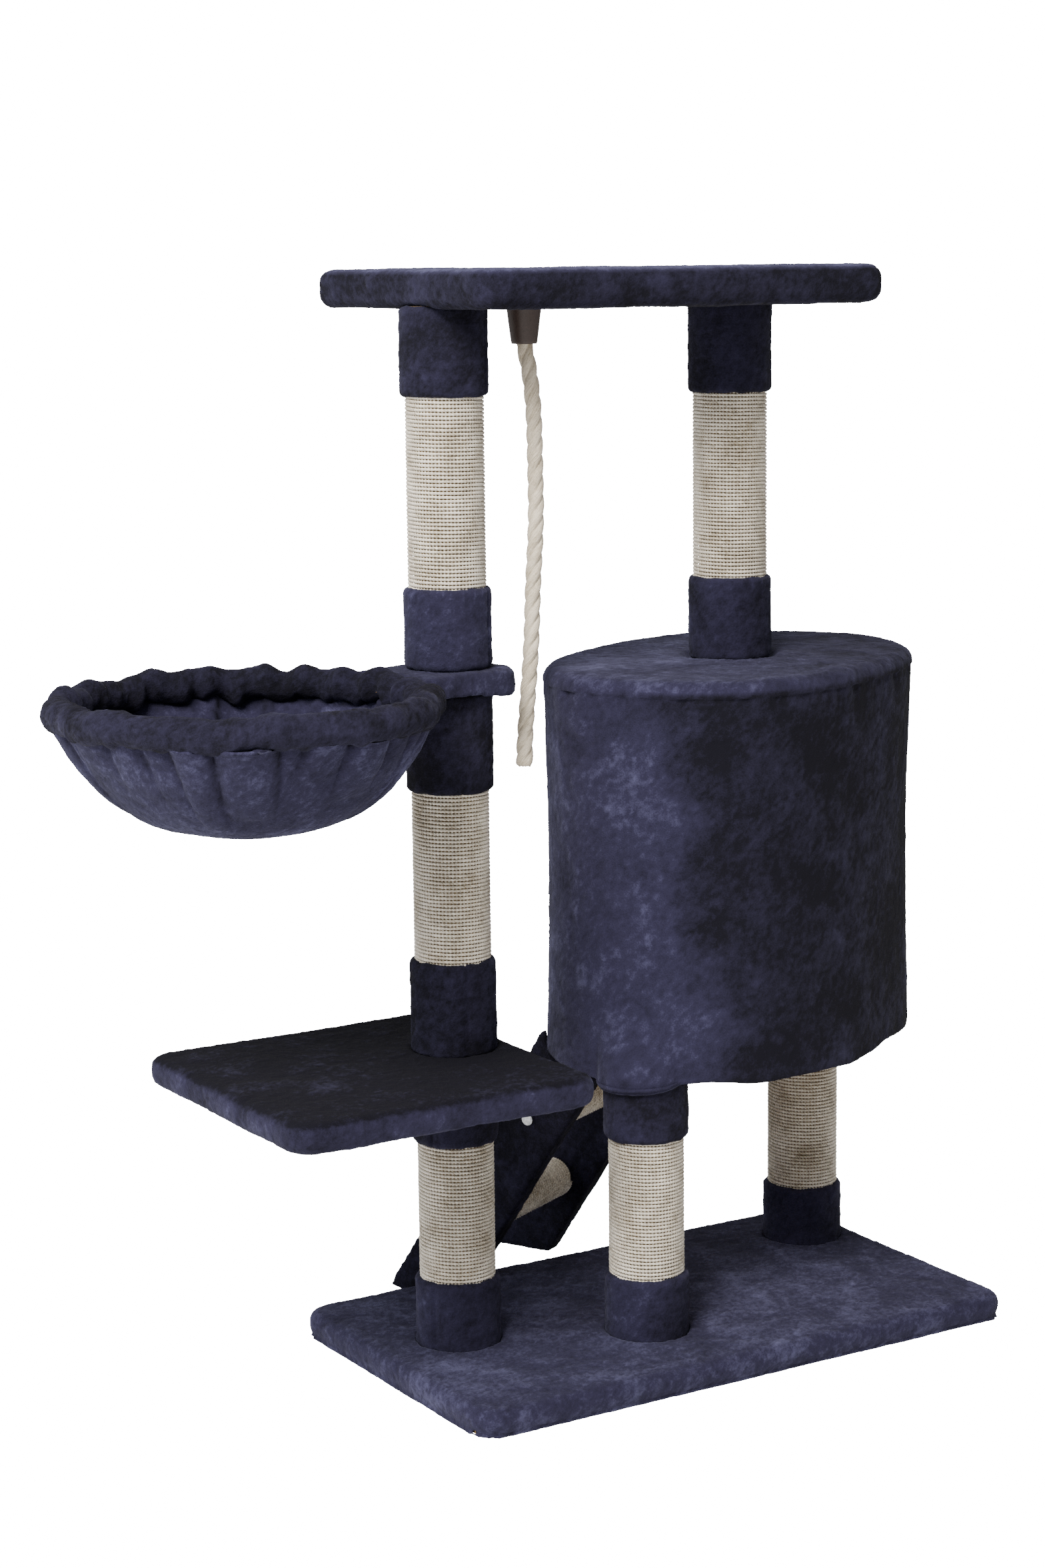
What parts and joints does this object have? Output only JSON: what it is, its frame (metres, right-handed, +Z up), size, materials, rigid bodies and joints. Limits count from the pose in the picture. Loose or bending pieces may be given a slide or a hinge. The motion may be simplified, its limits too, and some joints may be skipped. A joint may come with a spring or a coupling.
{
  "type": "cat tree",
  "caption": "Cat tree of plush-covered boards on sisal posts, with a low shelf, hanging basket, padded house, ladder, top platform and rope toy.",
  "frame": {"origin": "middle of the base's underside, on the floor", "axes": "+Z up, +X along the base's long side towards the post under the house, +Y towards the ladder side"},
  "size_m": [0.9353, 0.5318, 1.0198],
  "materials": {
    "plush": "short crushed plush pile",
    "sisal_winding": "wound sisal cord",
    "rung_sisal": "sisal cloth",
    "rope_sisal": "three-strand twisted rope",
    "cardboard": "spiral-wound board, matt",
    "chipboard": "raw chipboard",
    "steel": "zinc plated",
    "cup_plastic": "moulded, satin"
  },
  "bodies": {
    "stand": {"left_low_post_tube": "cardboard", "left_low_post_sisal": "sisal_winding", "left_low_post_cuff_lower": "plush", "left_low_post_cuff_upper": "plush", "left_mid_post_tube": "cardboard", "left_mid_post_sisal": "sisal_winding", "left_mid_post_cuff_lower": "plush", "left_mid_post_cuff_upper": "plush", "left_high_post_tube": "cardboard", "left_high_post_sisal": "sisal_winding", "left_high_post_cuff_lower": "plush", "left_high_post_cuff_upper": "plush", "center_post_tube": "cardboard", "center_post_sisal": "sisal_winding", "center_post_cuff_lower": "plush", "center_post_cuff_upper": "plush", "right_post_tube": "cardboard", "right_post_sisal": "sisal_winding", "right_post_cuff_lower": "plush", "right_post_cuff_upper": "plush", "rear_post_tube": "cardboard", "rear_post_sisal": "sisal_winding", "rear_post_cuff_lower": "plush", "rear_post_cuff_upper": "plush", "base_board": "chipboard", "shelf_board": "chipboard", "top_board": "chipboard", "house_floor": "chipboard", "house_roof": "chipboard", "base_cover": "plush", "shelf_cover": "plush", "top_cover": "plush", "house_cover": "plush", "ladder_rail_left": "plush", "ladder_rail_right": "plush", "house_wall": "cardboard", "base_bolt_left": "steel", "base_bolt_center": "steel", "base_bolt_right": "steel", "top_bolt_left": "steel", "top_bolt_rear": "steel", "house_bolt_center": "steel", "house_bolt_right": "steel", "house_bolt_roof": "steel", "shelf_stud": "steel", "basket_stud": "steel", "ladder_bolt_lower_left": "steel", "ladder_bolt_lower_right": "steel", "ladder_bolt_upper_left": "steel", "ladder_bolt_upper_right": "steel", "ladder_rung_lower": "rung_sisal", "ladder_rung_upper": "rung_sisal", "rope_cup": "cup_plastic"},
    "basket": {"basket_ring": "steel", "basket_tongue": "chipboard", "basket_tongue_cover": "plush", "basket_rim": "plush", "basket_bowl": "plush"},
    "rope_toy": {"rope": "rope_sisal", "rope_knot": "rope_sisal"}
  },
  "joints": [
    {"name": "basket_swivel", "type": "hinge", "parent": "stand", "child": "basket", "pos_m": [-0.2138, 0.0157, 0.6518], "axis": [0, 0, 1], "range_deg": [-45, 45]},
    {"name": "rope_swing", "type": "hinge", "parent": "stand", "child": "rope_toy", "pos_m": [-0.125, 0.022, 0.9545], "axis": [1, 0, 0], "range_deg": [-20, 20]}
  ]
}
